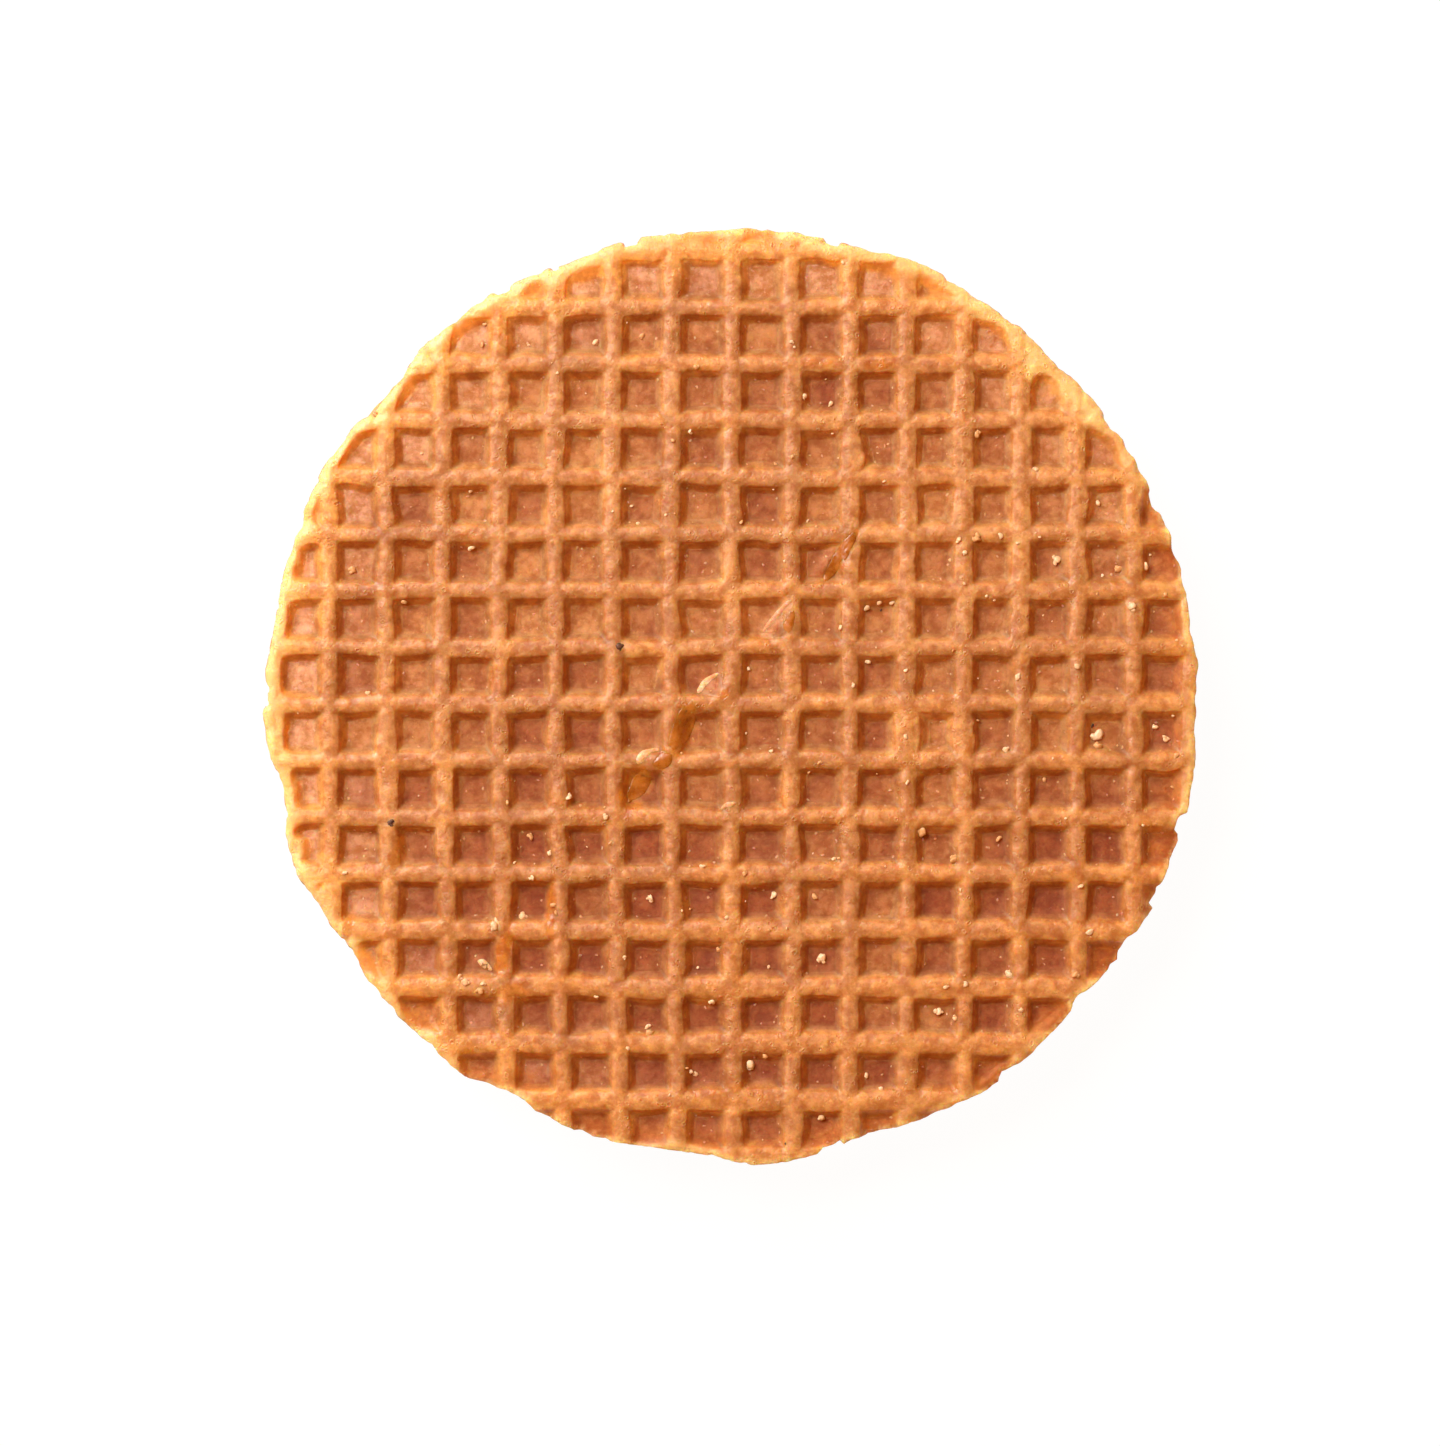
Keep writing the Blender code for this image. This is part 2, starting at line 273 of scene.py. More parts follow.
class Half:
    """A waffle half: where its grid runs, how high its skin is, and how it is browned."""

    def __init__(self, node, level, shift, seed, tears=(), blisters=(), stains=(), blushes=(), pale=()):
        self.outline = Outline(node, level)
        self.shift = shift
        self.tears, self.blisters = tears, blisters
        self.stains, self.blushes, self.pale = stains, blushes, pale
        self.width, self.lift, self.grain, self.chip, self.tone, self.warp = (
            Noise(seed + k) for k in range(6)
        )

    def place(self, u, v):
        """Where grid line number u meets grid line number v."""
        x = PITCH * u + MIDDLE_SPREAD * np.tanh(u / SPREAD_REACH)
        y = PITCH * v
        lean = (1 - np.tanh((x - LEAN_START) / LEAN_LENGTH)) / 2
        x = x + GRID_LEAN * np.maximum(0.0, -y / LEAN_FALL) * lean
        wander_x = WANDER * self.warp(u, v, 3.1, size=1.3, octaves=2)
        wander_y = WANDER * self.warp(u, v, 9.7, size=1.3, octaves=2)
        return x + self.shift[0] + wander_x, y + self.shift[1] + wander_y

    def locate(self, x, y):
        """The grid numbers of a place: place() turned round, by steps."""
        u, v = x / PITCH, y / PITCH
        for _ in range(12):
            at_x, at_y = self.place(u, v)
            u, v = u + (x - at_x) / PITCH, v + (y - at_y) / PITCH
        return u, v

    def edge(self, x, y):
        """Distance in from the crumbly cut edge."""
        rough = EDGE_ROUGHNESS * self.chip(x, y, size=1.5, octaves=3)
        nick = -NICK_DEPTH * fade(self.chip(x, y, 5.0, size=2.3), 0.45, 0.9)
        return self.outline.inside(x, y) + EDGE_ALLOWANCE + rough + nick

    def solid(self, x, y):
        """Positive where there is waffle: inside the cut edge and outside the tears."""
        value = self.edge(x, y)
        for tear in self.tears:
            ragged = 0.10 * self.chip(x, y, 8.0, size=0.9, octaves=2)
            value = np.minimum(value, ragged - lens(x, y, tear))
        return value

    def wall(self, along, other, wider=lambda line: 0.0):
        """How far down a pocket's wall a point is, from the ridges that run across `along`: 0 on a
        ridge, 1 on the floor. Each side of each ridge has its own unevenness."""
        line = np.round(along)
        side = np.sign(along - line)
        away = np.abs(along - line) * PITCH
        key = line * 2.37 + side * 0.61
        half = RIDGE_HALF * (1 + 0.40 * self.width(key, other, 1.0, size=0.55, octaves=3))
        half += wider(line)
        run = WALL_RUN * (1 + 0.28 * self.width(key, other, 4.0, size=0.9, octaves=2))
        return (away - half) / run, away / half

    def walls(self, u, v):
        """wall() for the ridges that run along Y, and for those along X, wider below the middle."""
        return self.wall(u, v), self.wall(v, u + 31.0, lambda line: 0.16 * fade(-line, 1, 6))

    def shaded_side(self, u, v):
        """1 on the walls that fall towards +X and -Y, turned away from the light, and -1 on the other two,
        with a smooth change in the corners; and how far down the walls along X a point is. It says where
        the walls get painted shade and where painted light."""
        (fall_u, _), (fall_v, _) = self.walls(u, v)
        share = fade(fall_v - fall_u, -0.3, 0.3)
        side_u, side_v = np.sign(u - np.round(u)), np.sign(v - np.round(v))
        return share * side_u - (1 - share) * side_v, fall_v

    def pocket(self, u, v, x, y):
        """How deep in a pocket a point is, from 0 on a ridge to 1 on a floor, and the ridge's crown."""
        (fall_u, crown_u), (fall_v, crown_v) = self.walls(u, v)
        fall = soft_min(fall_u - 0.30 * self.patch(self.pale, x, y), fall_v, CORNER_ROUNDING)
        crown = np.minimum(1, np.minimum(crown_u, crown_v) ** 2)
        t = unit(fall)
        return 0.30 * t + 0.70 * t * t * (3 - 2 * t), crown

    def patch(self, spots, x, y):
        """How strongly any of the spots covers a point, from 0 to 1."""
        cover = np.zeros(np.shape(x))
        for spot in spots:
            strength = spot[5] if len(spot) > 5 else 1.0
            ragged = oval(x, y, spot) + 0.45 * self.tone(x, y, 20.0, size=0.8, octaves=2)
            cover = np.maximum(cover, strength * fade(ragged, -0.1, 0.65))
        return cover

    def rim_lip(self, x, y):
        """How fully the pockets close up at the cut edge: nearly shut from the right, over the top,
        to the left, and open at the bottom."""
        angle = bearing(x, y)
        shut = 0.30 + 0.65 * fade(angle, 5, 40) * (1 - fade(angle, 205, 240))
        shut += 0.25 * bell(angle, 0, 18)
        return unit(shut + 0.30 * self.lift(x, y, 12.0, size=5.0))

    def lip_width(self, x, y):
        """How wide the shut lip is, against its usual width: widest at the left and upper right."""
        wide = 1 + 0.85 * bell(bearing(x, y), 181, 17) + 0.8 * bell(bearing(x, y), 42, 10)
        return wide * (1 + 0.3 * self.lift(x, y, 15.0, size=3.0))

    def rim_shallows(self, x, y, inward):
        """How much shallower the pockets are near the edge: most of all at the top."""
        return (0.12 + 0.38 * bell(bearing(x, y), 100, 45)) * (1 - fade(inward, 1.5, 7.5))

    def skin(self, u, v):
        """The skin's height against the crests (negative is lower), and what colours it."""
        x, y = self.place(u, v)
        p, crown = self.pocket(u, v, x, y)
        inward = self.edge(x, y)
        shut, wide = self.rim_lip(x, y), self.lip_width(x, y)
        soft = 1.1 + 1.1 * bell(bearing(x, y), 95, 45)
        lip = shut * (1 - fade(inward, 0.50 * wide, 0.50 * wide + soft))
        p = p * (1 - 0.92 * lip)
        cell = self.lift(np.floor(u) * 3.3, np.floor(v) * 3.3, 2.0)
        depth = (POCKET_DEPTH - CROWN) * (1 + 0.07 * cell) * (1 - self.rim_shallows(x, y, inward))
        height = -CROWN * crown - depth * p
        height -= 0.05 * (1 + self.lift(x, y, 6.0, size=3.4, octaves=2)) * (1 - p)
        height += 0.05 * self.lift(x, y, 30.0, size=1.9) * p
        height += 0.040 * self.grain(x, y, size=0.75, octaves=2) * (1.25 - 0.65 * p)
        height -= SKIN_SAG * (1 + self.lift(x, y, 40.0, size=24.0))

        gloss = np.zeros(np.shape(x))
        for blister in self.blisters:
            ragged = oval(x, y, blister) + 0.10 * self.tone(x, y, 50.0, size=0.9)
            ragged = np.clip(ragged, -0.5, 1)
            dome = -POCKET_DEPTH + blister[5] * (0.6 * ragged + 0.4 * np.sqrt(np.maximum(ragged, 0)))
            height = soft_max(height, dome, BLISTER_ROUNDING)
            gloss = np.maximum(gloss, 0.35 * fade(ragged, -0.15, 0.60))
        height -= (0.12 + 0.30 * shut) * (1 - fade(inward, -0.1, 0.75)) ** 2
        return x, y, height, p, inward, gloss, lip


# ---- meshes ----

def grid_numbers(reach):
    """Grid line numbers at which the mesh has lines, from -reach to reach pitches."""
    near = np.array(LINES) / PITCH
    one = np.concatenate([near, [0.5], 1 - near[:0:-1]])
    return np.concatenate([k + one for k in range(-reach, reach)] + [[float(reach)]])


SQUARE = ((0, 0), (1, 0), (1, 1), (0, 1))  # a square's corners, counter-clockwise


def clip_grid(lines, solid):
    """Cuts the grid of lines where solid(u, v) turns negative. Returns the points' grid numbers,
    the faces, counter-clockwise from above, and the cut edges in their faces' direction."""
    u, v = np.meshgrid(lines, lines, indexing="ij")
    value = solid(u, v)
    value = np.where(np.abs(value) < 1e-4, 1e-4, value)
    keep = value > 0
    number = np.full(u.shape, -1)
    number[keep] = np.arange(keep.sum())
    points = list(zip(u[keep], v[keep]))
    last = len(lines) - 1
    kept = sum(keep[a:a + last, b:b + last].astype(int) for a, b in SQUARE)
    i, j = np.nonzero(kept == 4)
    faces = np.stack([number[i + a, j + b] for a, b in SQUARE], 1).tolist()
    crossings, cuts = {}, []

    def crossing(a, b):
        key = (min(a, b), max(a, b))
        if key not in crossings:
            a, b = key
            t = min(0.9, max(0.1, value[a] / (value[a] - value[b])))
            points.append((u[a] + (u[b] - u[a]) * t, v[a] + (v[b] - v[a]) * t))
            crossings[key] = len(points) - 1
        return crossings[key]

    for i, j in zip(*np.nonzero((kept > 0) & (kept < 4))):
        corners = [(i + a, j + b) for a, b in SQUARE]
        face, leaving = [], []
        for a, b in zip(corners, corners[1:] + corners[:1]):
            if keep[a]:
                face.append(number[a])
            if keep[a] != keep[b]:
                face.append(crossing(a, b))
                if keep[a]:
                    leaving.append(len(face) - 1)
        for k in leaving:
            cuts.append((face[k], face[(k + 1) % len(face)]))
        faces.append(face)
    return np.array(points), faces, np.array(cuts)


def blurred(field, after, before, times):
    """A per-point field, averaged so many times with the points after and before it on the edge."""
    for _ in range(times):
        field = (field[after] + 2 * field + field[before]) / 4
    return field


def within(places, starts, ends):
    """Which places lie inside the outlines that the edges make, and outside the holes in them."""
    x, y = places[:, :1], places[:, 1:]
    passes = (starts[:, 1] > y) != (ends[:, 1] > y)
    rise = ends[:, 1] - starts[:, 1]
    at = starts[:, 0] + (y - starts[:, 1]) * (ends[:, 0] - starts[:, 0]) / np.where(rise == 0, 1, rise)
    return np.sum(passes & (x < at), axis=1) % 2 == 1


GRID_REACH = 9  # pitches that the grid of points reaches from the middle
SIDE_RINGS = 10  # rows of faces down the cut side
MAT_STEP = 3.0  # between the points inside the flat inner face
LIP_SWELL = 0.14  # how far the cut side bulges out where the rim is shut
CRUMB_ROUGHNESS = 0.11


def cut_side(half, edge, after, before, base):
    """The cut side: rings of points that go down from the edge's points to the inner face. It
    bulges out here and there, but not in a narrow notch of the edge."""
    tangent = blurred(edge[after, :2] - edge[before, :2], after, before, 6)
    outward = np.stack([tangent[:, 1], -tangent[:, 0]], 1)
    outward /= np.linalg.norm(outward, axis=1, keepdims=True) + 1e-9
    x, y, z = edge.T
    lip = (np.hypot(x, y) > 0.8 * half.outline.reach.min()) * half.rim_lip(x, y)
    plan = blurred(edge[:, :2], after, before, 3)
    broad = blurred(plan, after, before, 12)
    notch = fade(np.sum((broad - plan) * outward, axis=1), 0.0, 0.06)
    columns = []
    for k in range(1, SIDE_RINGS + 1):
        t = k / SIDE_RINGS
        level = z + (base - z) * t
        pores = CRUMB_ROUGHNESS * half.chip(x, y, level + 60.0, size=0.8, octaves=2)
        swell = LIP_SWELL * math.sin(math.pi * min(1, t * 1.4)) * lip
        swell = (swell + pores * math.sin(math.pi * t * 0.9)) * (1 - notch)
        start = edge[:, :2] * (1 - t) + plan * t
        columns.append(np.column_stack([start + outward * swell[:, None], level]))
    return columns


def inner_face(half, last, loops):
    """Triangles over the flat inner face, between the cut side's last ring and a mat of points
    inside it. Returns the mat, and the triangles as numbers in the ring and then in the mat."""
    spread = np.arange(-14, 15) * MAT_STEP
    mat = np.array([(x, y) for x in spread for y in spread])
    mat = mat[half.solid(mat[:, 0], mat[:, 1]) > 1.2]
    flat = [Vector(q) for q in last[:, :2].tolist() + mat.tolist()]
    cut_edges = [tuple(e) for e in loops.tolist()]
    _, _, triangles, origin, _, _ = delaunay_2d_cdt(flat, cut_edges, [], 1, 1e-6)
    triangles = np.array([min(o) for o in origin])[np.array(triangles)]
    middles = np.array(flat)[triangles].mean(1)
    return mat, triangles[within(middles, last[loops[:, 0], :2], last[loops[:, 1], :2])]


def make_half(name, half, base, direction, material):
    """A closed waffle half. direction is 1 where the pattern faces up and -1 where it faces down,
    and base is the height of its flat inner face."""
    crest = TOP if direction > 0 else 0.0
    uv, faces, cuts = clip_grid(grid_numbers(GRID_REACH), lambda u, v: half.solid(*half.place(u, v)))
    x, y, height, p, inward, gloss, lip = half.skin(uv[:, 0], uv[:, 1])
    z = crest + direction * np.minimum(height, 0.0 if direction < 0 else 0.12)
    top = np.stack([x, y, z], 1)
    n_top = len(top)

    rim = np.unique(cuts)
    at = np.full(n_top, -1)
    at[rim] = np.arange(len(rim))
    loops = at[cuts]
    a, b = loops.T
    after, before = np.empty(len(rim), int), np.empty(len(rim), int)
    after[a], before[b] = b, a
    columns = cut_side(half, top[rim], after, before, base)
    side = np.concatenate(columns)

    def ring(index, k):
        return np.where(k == 0, rim[index], n_top + (k - 1) * len(rim) + index)

    for k in range(SIDE_RINGS):
        faces += np.stack([ring(b, k), ring(a, k), ring(a, k + 1), ring(b, k + 1)], 1).tolist()
    mat, triangles = inner_face(half, columns[-1], loops)
    extra = np.column_stack([mat, np.full(len(mat), base)])
    first = n_top + (SIDE_RINGS - 1) * len(rim)
    faces += (first + triangles[:, ::-1]).tolist()
    if direction < 0:
        faces = [face[::-1] for face in faces]
    piece = add_piece(name, np.concatenate([top, side, extra]), faces, material)

    # Which ring each point is on, 0 for the skin, and how far round the edge it is
    steps = np.arange(SIDE_RINGS + 2).repeat([n_top] + [len(rim)] * SIDE_RINGS + [len(extra)])
    tape = tape_along(top[rim, :2], after)
    run = np.concatenate([tape[at], np.tile(tape, SIDE_RINGS), np.zeros(len(extra))])
    set_bake_places(piece.data, steps, run, direction)

    # Which side of each wall gets painted shade and which painted light
    shaded_side, across = half.shaded_side(uv[:, 0], uv[:, 1])
    shade = waffle_tint(half, top, p, inward, gloss, lip, across, shaded_side)
    crumb = crumb_tint(half, np.concatenate([side, extra]), np.minimum(steps[n_top:] / SIDE_RINGS, 1))
    set_colour(piece.data, "tint", np.concatenate([shade, crumb]))
    smooth = half.rim_lip(x, y) * (1 - fade(inward, 0.5, 2.8)) * (1 - fade(p, 0.3, 0.8))
    for key, skin, inside in (
        ("pocket", p, 0),
        ("gloss", gloss_of(half, top, gloss), 0),
        ("crumb", 0.4 * (1 - fade(inward, 0.0, 0.4)), 1),
        ("smooth", smooth, 0),
    ):
        set_value(piece.data, key, np.append(skin, np.full(len(side) + len(extra), inside)))
    return piece


# Where the faces lie in a baked image, whose sides measure 1
BAKE_SCALE = 0.01  # of each millimetre of the patterned face
BAKE_MIDDLE = (0.50, 0.56)  # the pattern's middle
BAKE_ROWS = (0.020, 0.003)  # where the first row of the cut side begins
BAKE_ROW_LENGTH = 90.0  # millimetres of the cut side in each row
BAKE_ROW_STEP = 0.030
BAKE_ROW_HEIGHT = 0.026
BAKE_INNER = (0.94, 0.94)  # the middle of the hidden inner face
BAKE_INNER_SCALE = 0.0011


def read(items, name, kind, width=1):
    """A value of every item of a mesh, as an array."""
    values = np.zeros(len(items) * width, kind)
    items.foreach_get(name, values)
    return values


def tape_along(edge, after):
    """How far round the edge each of its points is, one loop after another."""
    length = np.linalg.norm(edge[after] - edge, axis=1)
    tape, run, seen = np.zeros(len(edge)), 0.0, np.zeros(len(edge), bool)
    for at in np.argsort(-np.hypot(edge[:, 0], edge[:, 1])):
        while not seen[at]:
            seen[at], tape[at] = True, run
            run += length[at]
            at = after[at]
    return tape


def set_bake_places(mesh, steps, run, direction):
    """Lays the faces out for a baked image: the pattern as it is seen, the cut side in rows below
    it, and the hidden inner face small in a corner."""
    corner = read(mesh.loops, "vertex_index", int)
    place = read(mesh.vertices, "co", float, 3).reshape(-1, 3)[corner] / MM
    first = read(mesh.polygons, "loop_start", int)
    face = np.repeat(np.arange(len(first)), read(mesh.polygons, "loop_total", int))
    step, along = steps[corner], run[corner]
    lowest, highest = np.minimum.reduceat(step, first), np.maximum.reduceat(step, first)
    is_top = (highest == 0)[face]
    is_side = ((highest == lowest + 1) & (highest <= SIDE_RINGS))[face]

    uv = np.array(BAKE_INNER) + BAKE_INNER_SCALE * place[:, :2] * (-direction, 1)
    uv[is_top] = np.array(BAKE_MIDDLE) + BAKE_SCALE * place[is_top, :2] * (direction, 1)
    begin = np.minimum.reduceat(along, first)[face]
    end = np.maximum.reduceat(along, first)[face]
    wraps = is_side & (end - begin > 3.0)  # the faces that close a loop
    along = np.where(wraps & (along < (begin + end) / 2), end + 0.3, along)
    row = np.floor(np.where(wraps, end, begin) / BAKE_ROW_LENGTH)
    down = step / SIDE_RINGS
    side = np.column_stack([
        BAKE_ROWS[0] + BAKE_SCALE * (along - row * BAKE_ROW_LENGTH),
        BAKE_ROWS[1] + BAKE_ROW_STEP * row + BAKE_ROW_HEIGHT * (1 - down if direction > 0 else down),
    ])
    uv[is_side] = side[is_side]
    mesh.uv_layers.new(name="OFBake").data.foreach_set("uv", uv.astype(np.float32).ravel())


def add_object(name, data):
    obj = bpy.data.objects.new(name, data)
    bpy.context.scene.collection.objects.link(obj)
    return obj


def add_piece(name, points, faces, material):
    """A smooth piece that rides the root body, from points in millimetres."""
    mesh = bpy.data.meshes.new(name)
    mesh.from_pydata((points * MM).tolist(), [], [list(map(int, f)) for f in faces])
    mesh.validate()
    mesh.shade_smooth()
    mesh.materials.append(material)
    piece = add_object(name, mesh)
    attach(piece, "root")
    return piece


def set_colour(mesh, name, colours):
    attribute = mesh.color_attributes.new(name, "FLOAT_COLOR", "POINT")
    rgba = np.ones((len(colours), 4), np.float32)
    rgba[:, :3] = unit(colours)
    attribute.data.foreach_set("color", rgba.ravel())


def set_value(mesh, name, values):
    attribute = mesh.attributes.new(name, "FLOAT", "POINT")
    attribute.data.foreach_set("value", np.asarray(values, np.float32))


# ---- colours ----

RIDGE = (0.522, 0.230, 0.080)
# Painted shade: the pocket walls turned away from the light; also the crust just under the skin on the cut
# side
SHADED_WALL_AND_CRUST = (0.510, 0.162, 0.018)
# Painted light: the pocket walls turned towards the light
LIT_WALL = (0.370, 0.158, 0.046)
FLOOR = (0.510, 0.198, 0.050)
PALE = (0.860, 0.440, 0.150)
# Browning, and painted falloff of the light towards the lower right
DARKER_BROWN = (0.270, 0.045, 0.002)
# Gold near the edge; more of it on the sunny side is painted light
RIM_GOLD = (0.840, 0.400, 0.105)
# The pale lip, and the painted glow along the very edge
RIM_PALE = (0.900, 0.640, 0.260)
RIM_GLOW_LIT = (0.880, 0.340, 0.035)
RIM_GLOW_SHADED = (0.520, 0.160, 0.018)
# Darker rim pockets at the lower right, on the side away from the light
LOWER_RIGHT_RIM_DARK = (0.440, 0.112, 0.006)
SOAKED = (0.530, 0.162, 0.011)
AMBER = (0.640, 0.250, 0.040)
CRUMB = (0.800, 0.420, 0.150)
CRUMB_DARK = (0.580, 0.242, 0.066)
GRAIN_GOLD = (0.920, 0.500, 0.250)
GRAIN_BROWN = (0.780, 0.400, 0.170)
GRAIN_PALE = (0.980, 0.680, 0.450)
# Pale curl: the skin's colour, with a painted glint
PALE_LIP_GLINT = (0.860, 0.480, 0.260)
# Painted sheen of the raised skin beside the tears
SHEEN_PINK = (0.720, 0.340, 0.165)
# Painted light: paler floors near the edge on the sunny side
SUNLIT_FLOOR_PEACH = (0.760, 0.385, 0.195)
LIP_BROWN = (0.600, 0.250, 0.100)
BUBBLY_GOLD = (0.680, 0.295, 0.082)

# Where the skin is browned more or less than the rest: a place, and by how much
BROWNER_SPOTS = (((0, 0), -0.23), ((-22, -22), 0.22))
BROWNER_REACH = 16.0


def blend(a, b, amount):
    """Colour a, with colour b over it by an amount that may differ from point to point."""
    a, b = np.asarray(a), np.asarray(b)
    return a + (b - a) * np.asarray(amount)[..., None]


def painted(colour, *layers):
    """A colour with others over it, each with its amount."""
    for paint, amount in layers:
        colour = blend(colour, paint, amount)
    return colour


def waffle_tint(half, points, p, inward, gloss, lip, across, shaded_side):
    """The skin's colour: golden ridges, browner floors, painted shade and painted light on the walls,
    darker towards the bottom and right partly as painted falloff of the light, pale at the rim.
    """
    x, y = points[:, 0], points[:, 1]
    tone = half.tone
    light = fade(tone(x, y, 70.0, size=4.2, octaves=2), 0.1, 0.8) * (1 - fade(p, 0.3, 0.8))
    patches = 0.40 * half.patch(half.pale, x, y) * (1 - 0.8 * fade(p, 0.4, 0.9))

    # Browning that differs at random and from cell to cell, over a painted falloff of the light: darker
    # towards the lower right, away from the light, and most in the pockets
    browning_and_falloff = 0.41 + 0.0055 * x - 0.0085 * y
    for (at_x, at_y), amount in BROWNER_SPOTS:
        browning_and_falloff += amount * np.exp(-((x - at_x) ** 2 + (y - at_y) ** 2) / BROWNER_REACH ** 2)
    browning_and_falloff = browning_and_falloff + 0.20 * tone(x, y, 80.0, size=16.0) + 0.15 * tone(x, y, 90.0, size=3.1)
    cell = tone(np.floor(x / PITCH) * 2.7, np.floor(y / PITCH) * 2.7, 95.0)
    browning_and_falloff += 0.25 * cell * p

    bubbly = 0.35 + 0.65 * fade(-y, 0, 28)
    bubbly = bubbly * (0.7 + 0.5 * tone(x, y, 75.0, size=5.0)) * (1 - fade(across, 0.25, 0.6))
    streak = fade(tone(x, y, 100.0, size=2.4, octaves=2), 0.35, 0.8)
    soak = np.maximum(half.patch(half.stains, x, y), 0.15 * gloss)
    colour = painted(
        # Walls: painted shade on the side away from the light, painted light on the side towards it
        blend(LIT_WALL, SHADED_WALL_AND_CRUST, 0.5 + 0.5 * shaded_side),
        (RIDGE, 1 - fade(p, 0.0, 0.5)),
        (FLOOR, fade(p, 0.55, 0.97)),
        (PALE, np.maximum(patches, 0.35 * light)),
        (DARKER_BROWN, np.clip(browning_and_falloff, 0, 0.85) * (0.10 + 0.90 * p)),
        (BUBBLY_GOLD, 0.6 * unit(bubbly)),
    )
    return painted(
        rim_tint(half, colour, x, y, p, inward, lip, shaded_side),
        (AMBER, 0.30 * streak * (1 - fade(p, 0.6, 1.0))),
        # Painted sheen beside the tears
        (SHEEN_PINK, 0.5 * half.patch(half.blushes, x, y)),
        (SOAKED, 0.82 * soak),
    )


def rim_tint(half, colour, x, y, p, inward, lip, shaded_side):
    """The colour near the edge: gold, more of it on the sunny side as painted light; painted glow on the
    walls; paler floors on the sunny side as painted light; darker pockets at the lower right; a pale lip,
    and a painted glow along the very edge.
    """
    tone = half.tone
    # sunny: 1 towards the upper left, where the light comes from
    sunny = unit(0.5 + (y - x) / 90.0)
    gold = (1 - fade(inward, 0.6, 7.0)) * (1 - fade(p, 0.1, 0.9))
    on_wall = fade(p, 0.03, 0.25) * (1 - fade(p, 0.75, 1.0))
    west = bell(bearing(x, y), 158, 58) * (1 - fade(inward, 4.0, 22.0))
    lip_wall = fade(lip, 0.04, 0.35) * fade(p, 0.02, 0.18)
    cut = (1 - fade(inward, 0.5, 2.6)) * fade(p, 0.04, 0.3) * (1 - 0.5 * fade(lip, 0.0, 0.3))
    lower_right_dark = (1 - fade(inward, 0.9, 3.4)) * (1 - fade(sunny, 0.15, 0.5)) * fade(p, 0.08, 0.5)
    shut = half.rim_lip(x, y) * half.lip_width(x, y)
    band = (1 - fade(inward, 0.10 + 0.5 * shut, 0.40 + 1.35 * shut)) * (1 - fade(p, 0.04, 0.3))
    band = band * unit(0.9 + 0.35 * tone(x, y, 130.0, size=2.2))
    # Painted glow: a pale line along the very edge
    edge_glow = (1 - fade(inward, 0.06, 0.42)) * unit(0.7 + 0.6 * tone(x, y, 140.0, size=1.6))
    return painted(
        colour,
        # Gold near the edge, more on the sunny side as painted light
        (RIM_GOLD, (0.22 + 0.68 * sunny) * gold),
        (RIM_GLOW_LIT, 0.20 * sunny * on_wall * (1 - fade(inward, 1.0, 5.5))),
        (RIM_GLOW_SHADED, 0.50 * west * on_wall * (0.5 + 0.5 * shaded_side)),
        # Painted light: paler floors near the edge on the sunny side
        (SUNLIT_FLOOR_PEACH, 0.85 * sunny * fade(p, 0.6, 1.0) * (1 - fade(inward, 1.0, 10.0))),
        (RIM_GLOW_LIT, 0.8 * lip_wall * (0.2 + 0.8 * fade(sunny, 0.35, 0.75))),
        (RIM_GLOW_SHADED, 0.80 * cut),
        # Darker rim pockets at the lower right, away from the light
        (LOWER_RIGHT_RIM_DARK, 0.65 * lower_right_dark),
        (RIM_PALE, 0.9 * band),
        # Painted glow along the very edge
        (RIM_PALE, 0.6 * edge_glow),
    )


def gloss_of(half, points, blister):
    x, y = points[:, 0], points[:, 1]
    greasy = 0.45 * fade(half.tone(x, y, 110.0, size=3.3, octaves=2), 0.2, 0.8)
    return np.clip(np.maximum(np.maximum(blister, half.patch(half.stains, x, y)), greasy), 0, 1)


def crumb_tint(half, points, depth):
    """The cut side: browned just under the skin, pale in the middle."""
    x, y, z = points[:, 0], points[:, 1], points[:, 2]
    mottle = half.tone(x, y, z + 120.0, size=0.9, octaves=2)
    colour = blend(CRUMB, CRUMB_DARK, unit(0.35 + 0.5 * mottle))
    return blend(colour, SHADED_WALL_AND_CRUST, 1 - fade(depth, 0.0, 0.35))


# ---- materials ----

